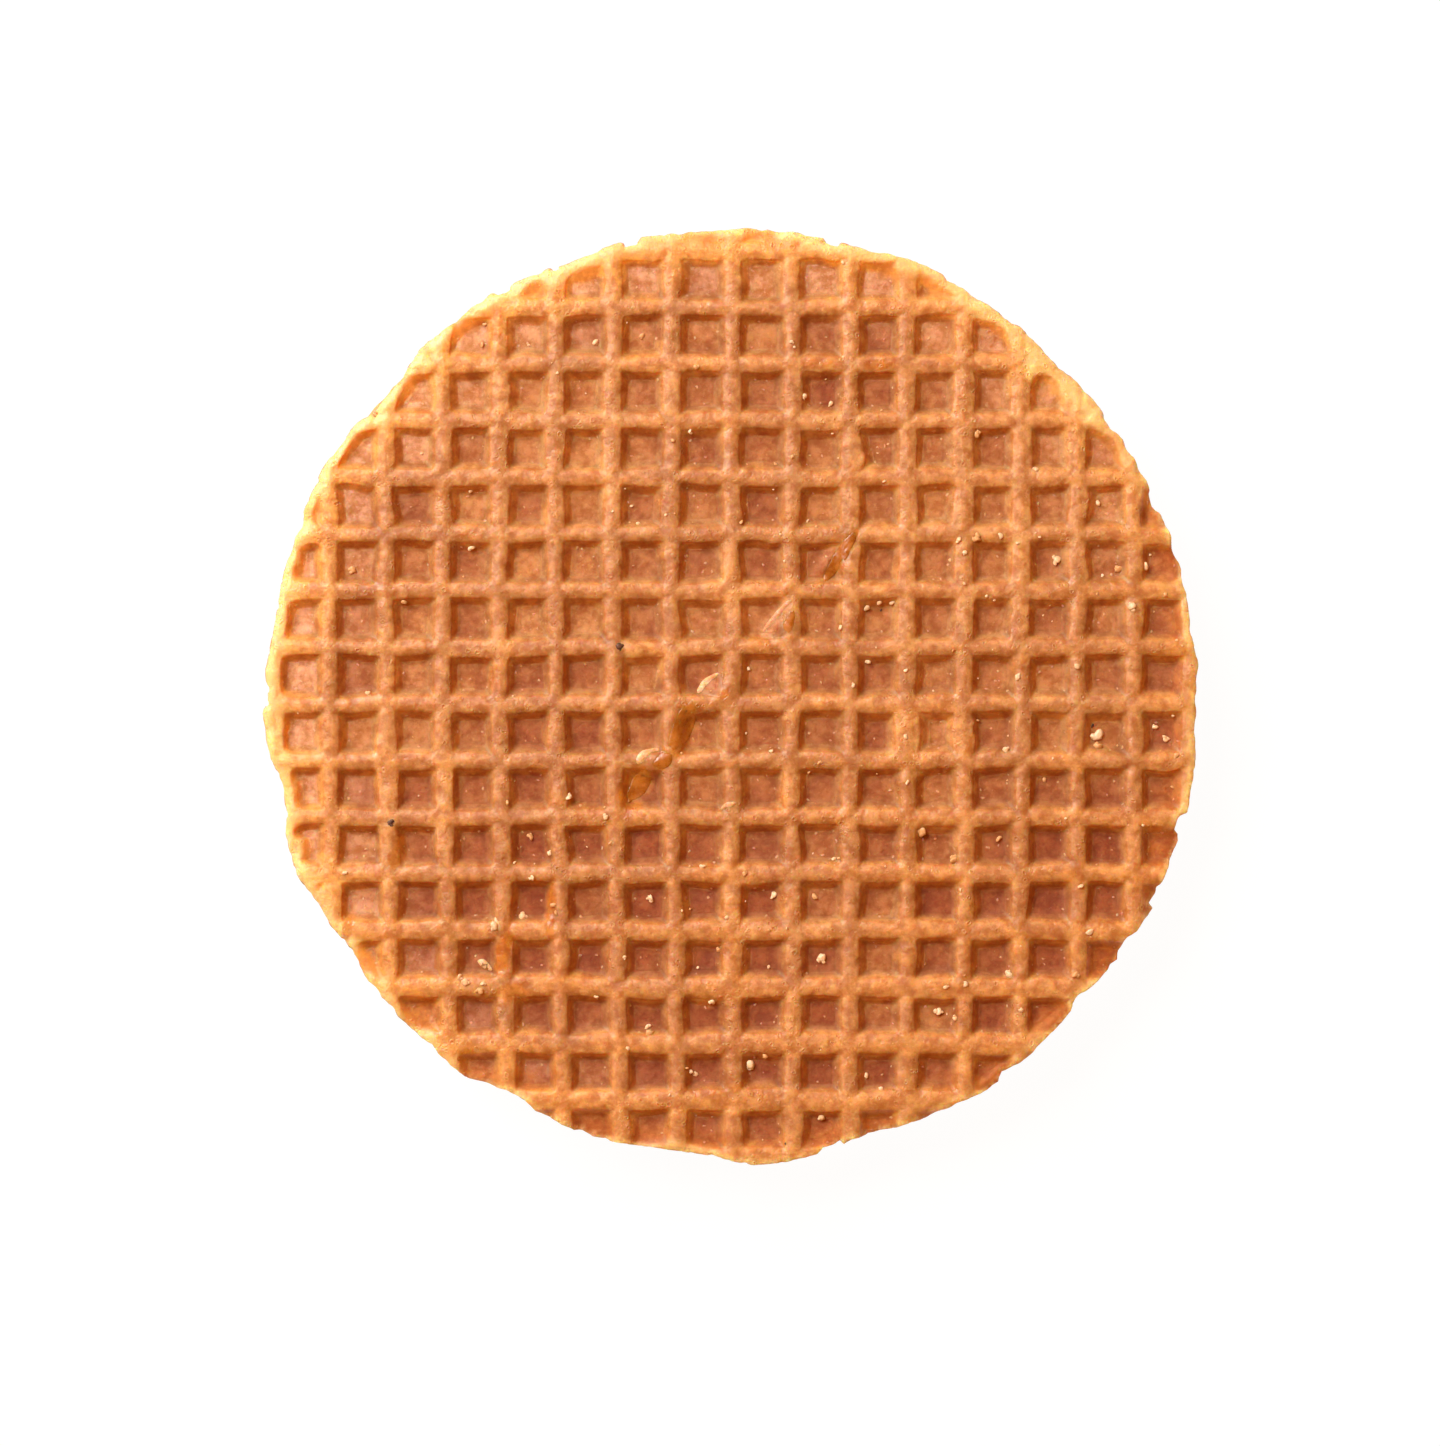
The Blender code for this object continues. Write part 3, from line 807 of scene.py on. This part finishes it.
class Shader:
    """A material around one Principled shader, with short calls to add and link nodes."""

    PUSH = 0.5  # millimetres by which noise pushes round spots out of shape
    PUSH_SCALE = 1.7

    def __init__(self, name):
        self.material = bpy.data.materials.new(name)
        self.material.use_nodes = True
        self.tree = self.material.node_tree
        self.principled = self.tree.nodes["Principled BSDF"]
        self.pushed = None
        coords = self.add("TexCoord").outputs["Object"]
        self.mm = self.add("VectorMath", {0: coords, "Scale": 1 / MM}, operation="SCALE").outputs[0]

    def add(self, kind, inputs=(), **settings):
        """A new node, with values or links for its inputs by name or by number."""
        node = self.tree.nodes.new("ShaderNode" + kind)
        for key, value in settings.items():
            setattr(node, key, value)
        for key, value in dict(inputs).items():
            self.feed(node.inputs[key], value)
        return node

    def feed(self, socket, value):
        if isinstance(value, bpy.types.NodeSocket):
            self.tree.links.new(value, socket)
        else:
            socket.default_value = value

    def set(self, **values):
        """Sets or links the Principled shader's inputs; Base_Color stands for Base Color."""
        for key, value in values.items():
            self.feed(self.principled.inputs[key.replace("_", " ")], value)

    def attribute(self, name, output="Fac"):
        return self.add("Attribute", attribute_name=name).outputs[output]

    def noise(self, scale, detail=3.0, rough=0.55):
        """Noise with `scale` bumps in a millimetre."""
        inputs = {"Vector": self.mm, "Scale": scale, "Detail": detail, "Roughness": rough}
        return self.add("TexNoise", inputs).outputs["Fac"]

    def ragged(self):
        """The place in millimetres, pushed about by noise, so that round spots come out uneven."""
        if self.pushed is None:
            noise = self.add("TexNoise", {"Vector": self.mm, "Scale": self.PUSH_SCALE})
            inputs = enumerate((noise.outputs["Color"], (self.PUSH,) * 3, self.mm))
            self.pushed = self.add("VectorMath", inputs, operation="MULTIPLY_ADD").outputs[0]
        return self.pushed

    def cells(self, scale):
        """Round cells, `scale` of them in a millimetre: the distance from their middles, and a
        value for each."""
        node = self.add("TexVoronoi", {"Vector": self.ragged(), "Scale": scale})
        return node.outputs["Distance"], node.outputs["Color"]

    def math(self, operation, a, b, clamp=False):
        return self.add("Math", {0: a, 1: b}, operation=operation, use_clamp=clamp).outputs[0]

    def times(self, first, *others):
        for other in others:
            first = self.math("MULTIPLY", first, other)
        return first

    def rest(self, value):
        """What is left of 1."""
        return self.math("SUBTRACT", 1.0, value, clamp=True)

    def span(self, value, low, high, to_low=0.0, to_high=1.0):
        """A smooth change from to_low to to_high where the value goes from low to high."""
        inputs = enumerate((value, low, high, to_low, to_high))
        return self.add("MapRange", inputs, interpolation_type="SMOOTHSTEP").outputs[0]

    def spots(self, scale, share, full, gone, *gates):
        """Round spots in that share of the cells: 1 within one distance of their middles, and 0
        from the other on. Each gate is where they may be."""
        away, kind = self.cells(scale)
        chosen = self.times(self.math("LESS_THAN", kind, share), *gates)
        return self.times(self.span(away, gone, full), chosen), away, chosen

    def mix(self, amount, a, b, blend_type="MIX"):
        node = self.add("Mix", {0: amount}, data_type="RGBA", blend_type=blend_type)
        for name, value in (("A", a), ("B", b)):
            socket = next(s for s in node.inputs if s.name == name and s.type == "RGBA")
            self.feed(socket, (*value, 1.0) if isinstance(value, tuple) else value)
        return next(s for s in node.outputs if s.type == "RGBA")

    def dyed(self, colour, dye):
        return self.mix(1.0, colour, dye, "MULTIPLY")

    def bump(self, height, distance, under=None):
        """A normal for a height that measures `distance` millimetres, on top of another normal."""
        inputs = {"Height": height, "Distance": distance * MM}
        if under is not None:
            inputs["Normal"] = under
        return self.add("Bump", inputs).outputs["Normal"]


def waffle_material(name, bleed):
    """Baked waffle; bleed is how far light wanders in it, in metres."""
    s = Shader(name)
    tint = s.attribute("tint", "Color")
    pocket, gloss, crumb, smooth = (s.attribute(key) for key in ("pocket", "gloss", "crumb", "smooth"))
    mottle = s.noise(0.90, rough=0.62)
    grain = s.noise(2.2)
    pores = s.cells(2.1)[0]

    # The tint, mottled and speckled
    in_pocket = s.span(pocket, 0.3, 0.9)
    lighter = s.mix(in_pocket, (1.22, 1.31, 1.38), (1.22, 1.30, 1.58))
    brighter = s.mix(in_pocket, (1.14, 1.38, 1.58), (1.18, 1.42, 2.00))
    colour = s.mix(s.span(mottle, 0.30, 0.70), s.dyed(tint, (0.78, 0.59, 0.36)), s.dyed(tint, lighter))
    colour = s.mix(s.times(smooth, 0.75), colour, tint)
    speckle = s.times(s.span(grain, 0.55, 0.72), s.span(pocket, 0.2, 1.0, 0.45, 0.65))
    fleck = s.times(s.span(grain, 0.45, 0.28), s.span(smooth, 0.0, 1.0, 0.36, 0.08))
    hole = s.times(s.span(pores, 0.30, 0.12), s.span(crumb, 0.0, 1.0, 0.08, 0.75))

    # Bubbles with pale rings, pits, sugar that has caramelised on the floors, and a pale crust
    bubbly = s.span(s.noise(0.11, detail=2.0), 0.42, 0.58)
    centre, bubble, bubble_on = s.spots(1.45, 0.55, 0.10, 0.20, s.rest(pocket), bubbly)
    ring = s.times(s.span(bubble, 0.16, 0.24), s.span(bubble, 0.40, 0.28), bubble_on)
    pit = s.spots(0.85, 0.12, 0.09, 0.19)[0]
    sugar = s.spots(1.30, 0.48, 0.08, 0.22, s.span(pocket, 0.1, 0.8))[0]
    crust = s.spots(2.3, 0.5, 0.14, 0.36, s.span(mottle, 0.46, 0.56), s.rest(smooth))[0]
    for amount, dye in (
        (speckle, brighter),
        (fleck, (0.74, 0.54, 0.36)),
        (hole, (0.60, 0.42, 0.28)),
        (s.times(ring, 0.40), (1.18, 1.42, 1.50)),
        (s.times(centre, 0.35), (0.66, 0.48, 0.30)),
        (s.times(pit, 0.30), (0.70, 0.52, 0.36)),
    ):
        colour = s.mix(amount, colour, s.dyed(tint, dye))
    colour = s.mix(s.times(sugar, 0.62), colour, (0.88, 0.52, 0.31))
    colour = s.mix(s.times(crust, 0.60), colour, s.dyed(tint, (1.38, 1.60, 1.85)))

    rough = s.math("ADD", s.span(mottle, 0.3, 0.7, 0.56, 0.44), s.span(pocket, 0.15, 0.8, 0.0, 0.30))
    rough = s.math("SUBTRACT", rough, s.times(gloss, 0.22))

    slope = s.times(s.span(pocket, 0.05, 0.3), s.span(pocket, 0.98, 0.8))
    matte = s.rest(s.math("MAXIMUM", s.times(gloss, 0.75), s.times(slope, 0.7)))
    raised = s.math("ADD", s.times(ring, 0.6), sugar)
    relief = s.math("SUBTRACT", raised, s.times(s.math("ADD", centre, pit), 0.5))
    normal = s.bump(s.times(s.span(pores, 0.0, 0.42), s.span(crumb, 0.0, 1.0, 0.12, 1.0)), 0.16)
    normal = s.bump(relief, 0.06, normal)
    normal = s.bump(s.times(mottle, matte), 0.15, normal)
    normal = s.bump(s.times(grain, matte), 0.045, normal)
    s.set(Base_Color=colour, Roughness=rough, Normal=normal, Subsurface_Weight=0.85,
          Subsurface_Scale=bleed, Subsurface_Radius=(1.0, 0.18, 0.03), Specular_IOR_Level=0.55)
    return s.material


def syrup_material(name, rough, coat):
    """Caramel syrup; rough is the roughness of its smoothest parts."""
    s = Shader(name)
    cloud = s.noise(0.45)
    fine = s.noise(2.6, detail=2.0)
    colour = s.mix(s.span(cloud, 0.35, 0.65), (0.34, 0.085, 0.006), (0.52, 0.160, 0.019))
    colour = s.mix(s.times(s.span(fine, 0.55, 0.72), 0.25), colour, (0.74, 0.26, 0.04))
    normal = s.bump(s.noise(0.8, detail=2.0), 0.12)
    s.set(Base_Color=colour, Roughness=s.span(fine, 0.35, 0.65, rough, rough + 0.14), Normal=normal,
          Subsurface_Weight=0.40, Subsurface_Scale=0.0012, Subsurface_Radius=(1.0, 0.35, 0.06),
          Coat_Weight=coat, Coat_Roughness=0.18)
    return s.material


def grain_material():
    s = Shader("sugar_and_crumb_grains")
    tint = s.attribute("tint", "Color")
    fine = s.noise(4.0, detail=2.0)
    colour = s.mix(s.span(fine, 0.35, 0.7), s.dyed(tint, (0.90, 0.82, 0.70)), tint)
    s.set(Base_Color=colour, Roughness=s.span(fine, 0.3, 0.7, 0.30, 0.5),
          Normal=s.bump(fine, 0.05), Subsurface_Weight=0.30, Subsurface_Scale=0.0002,
          Subsurface_Radius=(1.0, 0.7, 0.4))
    return s.material


# Near black: dark specks, and painted shade of small holes in the skin
def dark_speck_material():
    s = Shader("dark_speck_and_hole_shade")
    fine = s.noise(3.0)
    colour = s.mix(s.span(fine, 0.35, 0.65), (0.050, 0.018, 0.010), (0.16, 0.055, 0.025))
    s.set(Base_Color=colour, Roughness=0.55, Normal=s.bump(fine, 0.08))
    return s.material


# ---- syrup ----

def capped_stack(outlines, bottom, top):
    """A closed body from a stack of outlines of equal length, lowest first, and two end points."""
    count = len(outlines[0])
    points = np.concatenate([*outlines, [bottom], [top]])
    last = (len(outlines) - 1) * count
    low_end, high_end = last + count, last + count + 1
    faces = []
    for a in range(count):
        b = (a + 1) % count
        faces.append((b, a, low_end))
        faces.append((last + a, last + b, high_end))
        for k in range(0, last, count):
            faces.append((k + a, k + b, k + count + b, k + count + a))
    return points, faces


def joined(bodies):
    """Several (points, faces) bodies as one."""
    points, faces, total = [], [], 0
    for body_points, body_faces in bodies:
        points.append(body_points)
        faces += [tuple(i + total for i in face) for face in body_faces]
        total += len(body_points)
    return np.concatenate(points), faces


def full_turn(steps):
    return np.linspace(0, 2 * math.pi, steps, endpoint=False)


def level_skin(half, places, reach):
    """The skin's height, averaged over a small cross around each place."""
    total = 0
    for dx, dy in ((0, 0), (reach, 0), (-reach, 0), (0, reach), (0, -reach)):
        u, v = half.locate(places[:, 0] + dx, places[:, 1] + dy)
        total += half.skin(u, v)[2]
    return TOP + total / 5


LAYER_STEPS, LAYER_RINGS = 720, 12
LAYER_WANDER, LAYER_UNEVENNESS = 0.30, 0.16
LAYER_BULGE, LAYER_HANG = 0.34, 0.18  # how far its rim bulges between its edges, which hang back
LAYER_SINK = 0.04  # how far the syrup layer goes into the halves
POOL_STEPS = 56
POOL_SHARES = np.array((0.0, 0.30, 0.55, 0.74, 0.87, 0.95, 1.0, 1.07, 1.16))
POOL_TOP = 0.12  # how far a pool may stand over the crests
LIP_STEPS, LIP_SIDES = 22, 12
LIP_FLATNESS = 0.4
LIP_SINK = 0.06  # how far a curl's middle lies under the skin
LIP_TOP = 0.14


def make_syrup_layer(material):
    """The layer between the halves: its rim bulges out between them here and hangs back there."""
    low, high = LOWER_TOP - LAYER_SINK, UPPER_BASE + LAYER_SINK
    outline = Outline("syrup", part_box("syrup")[0].z / MM)
    creep, fine = Noise(301), Noise(302)
    cos, sin = np.cos(full_turn(LAYER_STEPS)), np.sin(full_turn(LAYER_STEPS))
    rim = outline.radius(cos, sin) + LAYER_WANDER * creep(40 * cos, 40 * sin, size=7.0, octaves=3)
    outlines = []
    for k in range(LAYER_RINGS + 1):
        t = k / LAYER_RINGS
        level = low + (high - low) * t
        bulge = LAYER_BULGE * math.sin(math.pi * t) ** 0.7 - LAYER_HANG
        uneven = LAYER_UNEVENNESS * fine(42 * cos, 42 * sin, level, size=1.7, octaves=3)
        radius = rim + bulge + uneven * math.sin(math.pi * t)
        outlines.append(np.column_stack([radius * cos, radius * sin, np.full(LAYER_STEPS, level)]))
    shrunk = [(0.45, 0.45, 1), (0.8, 0.8, 1)]
    outlines = [outlines[0] * k for k in shrunk] + outlines + [outlines[-1] * k for k in shrunk[::-1]]
    piece = add_piece("syrup_layer", *capped_stack(outlines, (0, 0, low), (0, 0, high)), material)
    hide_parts("syrup")


def make_pools(material, half):
    """Syrup that has welled up through the tears and over the skin. Each pool follows the skin
    that it covers, levelled out, and its rim dips under that skin."""
    ragged = Noise(311)
    turn = full_turn(POOL_STEPS)
    plans = []
    for x, y, length, width, direction, _ in POOLS:
        angle = math.radians(direction)
        uneven = 1 + 0.16 * ragged(x + 2 * np.cos(turn), y + 2 * np.sin(turn), size=1.1, octaves=2)
        along = np.cos(turn) * length / 2 * uneven
        across = np.sin(turn) * (1 - 0.3 * np.cos(turn) ** 2) * width / 2 * uneven
        outline = np.column_stack([along * math.cos(angle) - across * math.sin(angle),
                                   along * math.sin(angle) + across * math.cos(angle)])
        plans.append((x, y) + POOL_SHARES[:, None, None] * outline)
    plans = np.array(plans)
    levels = level_skin(half, plans.reshape(-1, 2), 0.35).reshape(plans.shape[:3])
    bodies = []
    for plan, level, pool in zip(plans, levels, POOLS):
        swell = pool[5] * np.sqrt(unit(1 - POOL_SHARES ** 2)) - 1.6 * np.maximum(POOL_SHARES - 1, 0)
        level = np.minimum(level + swell[:, None], TOP + POOL_TOP)
        foot = np.column_stack([plan[-1] * 0.5 + plan[0] * 0.5, np.full(POOL_STEPS, UPPER_BASE + 0.3)])
        rings = [np.column_stack([ring, height]) for ring, height in zip(plan[1:], level[1:])]
        bodies.append(capped_stack([foot, *rings[::-1]], foot.mean(0), (*plan[0, 0], level[0, 0])))
    piece = add_piece("syrup_pools", *joined(bodies), material)


def make_lips(material, half):
    """Curls where the skin has torn, pale partly as a painted glint: bent spindles, half sunk into the
    skin.
    """
    t = np.linspace(0.04, 0.96, LIP_STEPS)[:, None]
    turn = full_turn(LIP_SIDES)
    bodies, tints = [], []
    for start, middle, end, thick, pale in LIPS:
        start, middle, end = np.array(start), np.array(middle), np.array(end)
        bend = 2 * middle - (start + end) / 2
        place = (1 - t) ** 2 * start + 2 * t * (1 - t) * bend + t * t * end
        along = 2 * (1 - t) * (bend - start) + 2 * t * (end - bend)
        across = np.column_stack([-along[:, 1], along[:, 0]])
        across = across / np.linalg.norm(along, axis=1, keepdims=True)
        uneven = 1 + 0.22 * half.chip(place[:, :1], place[:, 1:], 70.0, size=0.9, octaves=2)
        radius = thick / 2 * np.sin(math.pi * t) ** 0.55 * uneven
        level = level_skin(half, place, 0.4)[:, None] - LIP_SINK
        level = np.minimum(level, TOP + LIP_TOP - LIP_FLATNESS * radius)
        rings = []
        for k in range(LIP_STEPS):
            flat = place[k] + np.cos(turn)[:, None] * radius[k] * across[k]
            rings.append(np.column_stack([flat, level[k] + LIP_FLATNESS * radius[k] * np.sin(turn)]))
        bodies.append(capped_stack(rings, rings[0].mean(0), rings[-1].mean(0)))
        # The paler the curl, the more painted glint it carries
        tints += [blend(LIP_BROWN, PALE_LIP_GLINT, pale)] * len(bodies[-1][0])
    piece = add_piece("skin_lips", *joined(bodies), material)
    set_colour(piece.data, "tint", tints)
    set_value(piece.data, "gloss", np.full(len(tints), 0.25))


# ---- crumbs ----

# (x, y, size)
BIG_GRAINS = (
    (33.8, -3.5, 1.15), (33.8, -4.6, 0.85), (30.0, 12.7, 1.0), (22.6, 14.5, 0.9), (20.9, 14.4, 0.6),
    (35.7, 11.7, 0.8), (38.1, 12.0, 0.8), (36.8, 8.3, 0.9), (22.6, 24.1, 0.8), (33.8, 17.8, 0.6),
    (8.4, -24.0, 1.0), (1.7, -33.8, 0.95), (12.5, -34.8, 0.65), (8.3, -38.6, 0.75), (20.5, -15.0, 0.95),
    (17.5, -12.4, 0.9), (19.1, -28.9, 0.8), (20.6, -29.5, 0.6), (31.6, -25.5, 0.75),
    (25.6, -25.5, 0.85), (-34.8, 11.7, 0.75), (-14.9, -9.2, 0.7), (-18.4, -12.9, 0.75),
    (-24.3, -26.2, 0.8), (-23.0, -27.0, 0.75), (-19.2, -20.2, 0.9), (-24.9, -25.7, 0.6),
    (-22.8, -26.3, 0.55), (-21.7, -21.0, 0.8), (-16.3, -19.1, 0.6), (-7.4, -18.5, 0.7),
    (-7.5, -30.9, 0.7), (-1.7, -28.0, 0.65), (12.5, 8.2, 0.75), (31.7, 2.8, 0.65), (40.0, -3.9, 0.7),
    (39.0, -2.8, 0.6), (26.3, 1.8, 0.65),
)


# Dark specks (x, y, size); the first two are painted shade where the skin has small holes
SPECKS = (
    (-10.2, 4.6, 0.75), (-31.2, -11.5, 0.8), (5.0, -41.0, 0.3), (13.8, 8.0, 0.35), (33.2, -2.7, 0.45),
)
GRAINS = 210  # the big ones and the rest
GRAIN_TOP = 0.16  # how far a grain may stand over the crests
GRAIN_INSET = 0.8  # how far from the cut edge the grains begin
GRAIN_NOISE = Noise(79)
RAY_START = 0.05  # metres, well above the waffle


def icosphere():
    bm = bmesh.new()
    bmesh.ops.create_icosphere(bm, subdivisions=2, radius=1.0)
    points = np.array([v.co for v in bm.verts])
    faces = [[v.index for v in f.verts] for f in bm.faces]
    bm.free()
    return points, faces


def grain_shape(draw, size):
    """A small broken grain: up to three lumps, squeezed, turned and dented, that run together."""
    ball, faces = icosphere()
    lumps = []
    count = 1 if size < 0.4 else 2 if size < 0.7 else 3
    for k in range(count):
        share = 1.0 if k == 0 else draw.uniform(0.45, 0.75)
        scale = share * size / 2 * draw.uniform((0.72, 0.58, 0.28), (1.05, 0.90, 0.48))
        turn = Matrix.Rotation(draw.uniform(0, 2 * math.pi), 3, "Z")
        turn = turn @ Matrix.Rotation(draw.normal(0, 0.4), 3, "X")
        dents = 0.42 * GRAIN_NOISE(*(ball + draw.uniform(0, 40, 3)).T, size=0.8, octaves=2)
        dents = np.clip(dents, -0.28, 0.22)
        lump = ball * (1 + dents + draw.uniform(-0.06, 0.06, len(ball)))[:, None] * scale
        lump = lump @ np.array(turn).T
        if k:
            away = draw.uniform(0, 2 * math.pi)
            lump = lump + 0.34 * size * np.array((math.cos(away), math.sin(away), -0.05))
        lumps.append((lump, faces))
    return joined(lumps)


def grains_on(skin, spots, draw):
    """A grain's shape for each of the spots, and the height of the skin there, by a ray from above."""
    for x, y, size in spots:
        hit, place, _, _ = skin.ray_cast(Vector((x * MM, y * MM, RAY_START)), Vector((0, 0, -1)))
        if hit:
            yield x, y, place.z / MM, size, *grain_shape(draw, size)


def make_grains(material, half, skin):
    """Sugar and crumb grains, most of them to the right and below, lying on the skin."""
    draw = np.random.default_rng(77)
    clump = Noise(78)
    spots = list(BIG_GRAINS)
    while len(spots) < GRAINS:
        x, y = draw.uniform(-42, 42, 2)
        if half.edge(np.array(x), np.array(y)) < GRAIN_INSET:
            continue
        density = 0.22 + 0.5 * fade(np.array(x - 0.6 * y), -20, 45) + 0.5 * float(clump(x, y, size=7.0))
        if draw.uniform() < density:
            spots.append((x, y, 0.20 + 0.45 * draw.uniform() ** 2.0))
    bodies, colours = [], []
    for x, y, z, size, shape, faces in grains_on(skin, spots, draw):
        z = min(z + 0.12 * size, TOP + GRAIN_TOP - shape[:, 2].max())
        bodies.append((shape + (x, y, z), faces))
        kind = draw.uniform()
        colour = blend(GRAIN_GOLD, GRAIN_PALE, kind) if kind > 0.35 else GRAIN_BROWN
        colours += [colour] * len(shape)
    piece = add_piece("grains", *joined(bodies), material)
    set_colour(piece.data, "tint", colours)


def make_specks(material, skin):
    """A few dark specks; the first two are painted shade where the skin has small holes."""
    bodies = []
    for x, y, z, _, shape, faces in grains_on(skin, SPECKS, np.random.default_rng(91)):
        bodies.append((shape * (1, 1, 0.6) + (x, y, z), faces))
    piece = add_piece("dark_specks_and_hole_shade", *joined(bodies), material)


# ---- stage ----

FLOOR_WIDTH = 10.0  # metres
FLOOR_LEVEL = -0.00005
FILL_COLOUR, FILL_STRENGTH = (1.0, 0.41, 0.05, 1.0), 0.43
KEY_PLACE, KEY_TARGET = Vector((-0.335, 0.342, 0.445)), Vector((0, 0, 0.008))
KEY_SIZE, KEY_POWER, KEY_COLOUR = 0.50, 7.1, (0.96, 0.99, 0.98)
CAMERA_LENS, CAMERA_SENSOR = 85.0, 36.0
CAMERA_X, CAMERA_Y = -1.0 * MM, -2.4 * MM
CAMERA_HEIGHT = 0.313  # metres over the crests


def make_floor():
    s = Shader("white_paper")
    shade = s.mix(s.span(s.noise(0.05), 0.3, 0.7), (0.05, 0.05, 0.05), (0.07, 0.07, 0.07))
    s.set(Base_Color=shade, Roughness=1.0, Specular_IOR_Level=0.0,
          Emission_Color=(1.0, 0.998, 0.99, 1.0), Emission_Strength=0.97)
    mesh = bpy.data.meshes.new("floor")
    corners = [((x - 0.5) * FLOOR_WIDTH, (y - 0.5) * FLOOR_WIDTH, 0) for x, y in SQUARE]
    mesh.from_pydata(corners, [], [(0, 1, 2, 3)])
    mesh.materials.append(s.material)
    floor = add_object("floor", mesh)
    floor.location.z = FLOOR_LEVEL


def make_world():
    """A warm fill all round, behind a white that only the camera sees."""
    world = bpy.data.worlds.new("studio")
    world.use_nodes = True
    nodes, links = world.node_tree.nodes, world.node_tree.links
    fill = nodes["Background"]
    fill.inputs["Color"].default_value = FILL_COLOUR
    fill.inputs["Strength"].default_value = FILL_STRENGTH
    backdrop = nodes.new("ShaderNodeBackground")
    backdrop.inputs["Color"].default_value = (1.0, 1.0, 1.0, 1.0)
    seen, mix = nodes.new("ShaderNodeLightPath"), nodes.new("ShaderNodeMixShader")
    links.new(seen.outputs["Is Camera Ray"], mix.inputs[0])
    links.new(fill.outputs[0], mix.inputs[1])
    links.new(backdrop.outputs[0], mix.inputs[2])
    links.new(mix.outputs[0], nodes["World Output"].inputs["Surface"])
    bpy.context.scene.world = world


def make_key_light():
    light = bpy.data.lights.new("key", "AREA")
    light.shape = "DISK"
    light.size, light.energy, light.color = KEY_SIZE, KEY_POWER, KEY_COLOUR
    key = add_object("key", light)
    key.location = KEY_PLACE
    key.rotation_euler = (KEY_TARGET - KEY_PLACE).to_track_quat("-Z", "Y").to_euler()


def make_camera():
    """Straight above, looking down."""
    data = bpy.data.cameras.new("camera")
    data.lens, data.sensor_width = CAMERA_LENS, CAMERA_SENSOR
    data.clip_start, data.clip_end = 0.01, 10.0
    camera = add_object("camera", data)
    camera.location = (CAMERA_X, CAMERA_Y, TOP * MM + CAMERA_HEIGHT)
    bpy.context.scene.camera = camera


# ---- the whole ----

def main():
    bpy.context.scene.view_settings.view_transform = "Standard"
    waffle = waffle_material("baked_waffle", 0.0012)
    upper = Half("wafer_top", UPPER_BASE, UPPER_SHIFT, 100, TEARS, BLISTERS, STAINS, SHEEN_SPOTS, PALE_PATCHES)
    top = make_half("upper_waffle", upper, UPPER_BASE, 1, waffle)
    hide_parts("wafer_top")
    lower = Half("wafer_bottom", LOWER_TOP, LOWER_SHIFT, 200)
    bottom = make_half("lower_waffle", lower, LOWER_TOP, -1, waffle)
    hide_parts("wafer_bottom")

    make_syrup_layer(syrup_material("caramel_filling", 0.22, 0.3))
    make_pools(syrup_material("caramel_drips", 0.24, 0.25), upper)
    make_lips(waffle_material("torn_skin", 0.0003), upper)
    bpy.context.view_layer.update()
    make_grains(grain_material(), upper, top)
    make_specks(dark_speck_material(), top)
    make_floor()
    make_world()
    make_key_light()
    make_camera()


main()
